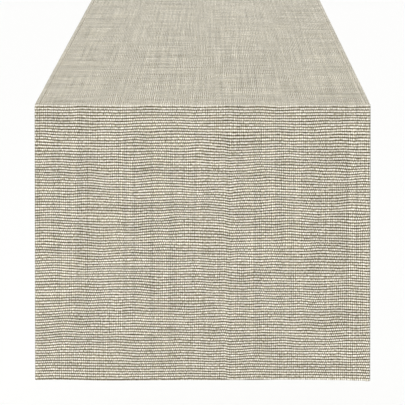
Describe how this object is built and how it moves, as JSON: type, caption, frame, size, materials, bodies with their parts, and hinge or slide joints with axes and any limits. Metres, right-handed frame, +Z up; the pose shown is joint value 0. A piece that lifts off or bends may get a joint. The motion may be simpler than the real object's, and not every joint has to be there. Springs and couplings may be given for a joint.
{
  "type": "table runner",
  "caption": "Long ribbed woven cloth runner laid over a tabletop, with hemmed ends that hang straight down past the table's edges and lift outward at the folds.",
  "frame": {"origin": "centre of the underside that rests on the tabletop", "axes": "X across the runner, Y along it towards the back end, Z up; the front drop hangs at the -Y end"},
  "size_m": [0.3556, 1.7024, 0.2962],
  "materials": {
    "woven_cloth": "matte ribbed weave of thick undyed weft over fine warp",
    "hem": "matte turned edge pressed flat",
    "sewing_thread": "matte spun thread"
  },
  "bodies": {
    "top": {"top_panel": "woven_cloth", "top_hem_left": "hem", "top_hem_right": "hem", "top_thread_left": "sewing_thread", "top_thread_right": "sewing_thread", "front_fold": "woven_cloth", "front_fold_hem_left": "hem", "front_fold_hem_right": "hem", "front_fold_thread_left": "sewing_thread", "front_fold_thread_right": "sewing_thread", "back_fold": "woven_cloth", "back_fold_hem_left": "hem", "back_fold_hem_right": "hem", "back_fold_thread_left": "sewing_thread", "back_fold_thread_right": "sewing_thread"},
    "front_drop": {"front_drop_panel": "woven_cloth", "front_drop_hem_left": "hem", "front_drop_hem_right": "hem", "front_drop_thread_left": "sewing_thread", "front_drop_thread_right": "sewing_thread", "front_end_hem": "hem", "front_end_thread": "sewing_thread"},
    "back_drop": {"back_drop_panel": "woven_cloth", "back_drop_hem_left": "hem", "back_drop_hem_right": "hem", "back_drop_thread_left": "sewing_thread", "back_drop_thread_right": "sewing_thread", "back_end_hem": "hem", "back_end_thread": "sewing_thread"}
  },
  "joints": [
    {"name": "front_drop_lift", "type": "hinge", "parent": "top", "child": "front_drop", "pos_m": [0, -0.84603, -0.003], "axis": [-1, 0, 0], "range_deg": [0, 90], "deforming": ["front_fold", "front_fold_hem_left", "front_fold_hem_right", "front_fold_thread_left", "front_fold_thread_right"]},
    {"name": "back_drop_lift", "type": "hinge", "parent": "top", "child": "back_drop", "pos_m": [0, 0.84603, -0.003], "axis": [1, 0, 0], "range_deg": [0, 90], "deforming": ["back_fold", "back_fold_hem_left", "back_fold_hem_right", "back_fold_thread_left", "back_fold_thread_right"]}
  ]
}
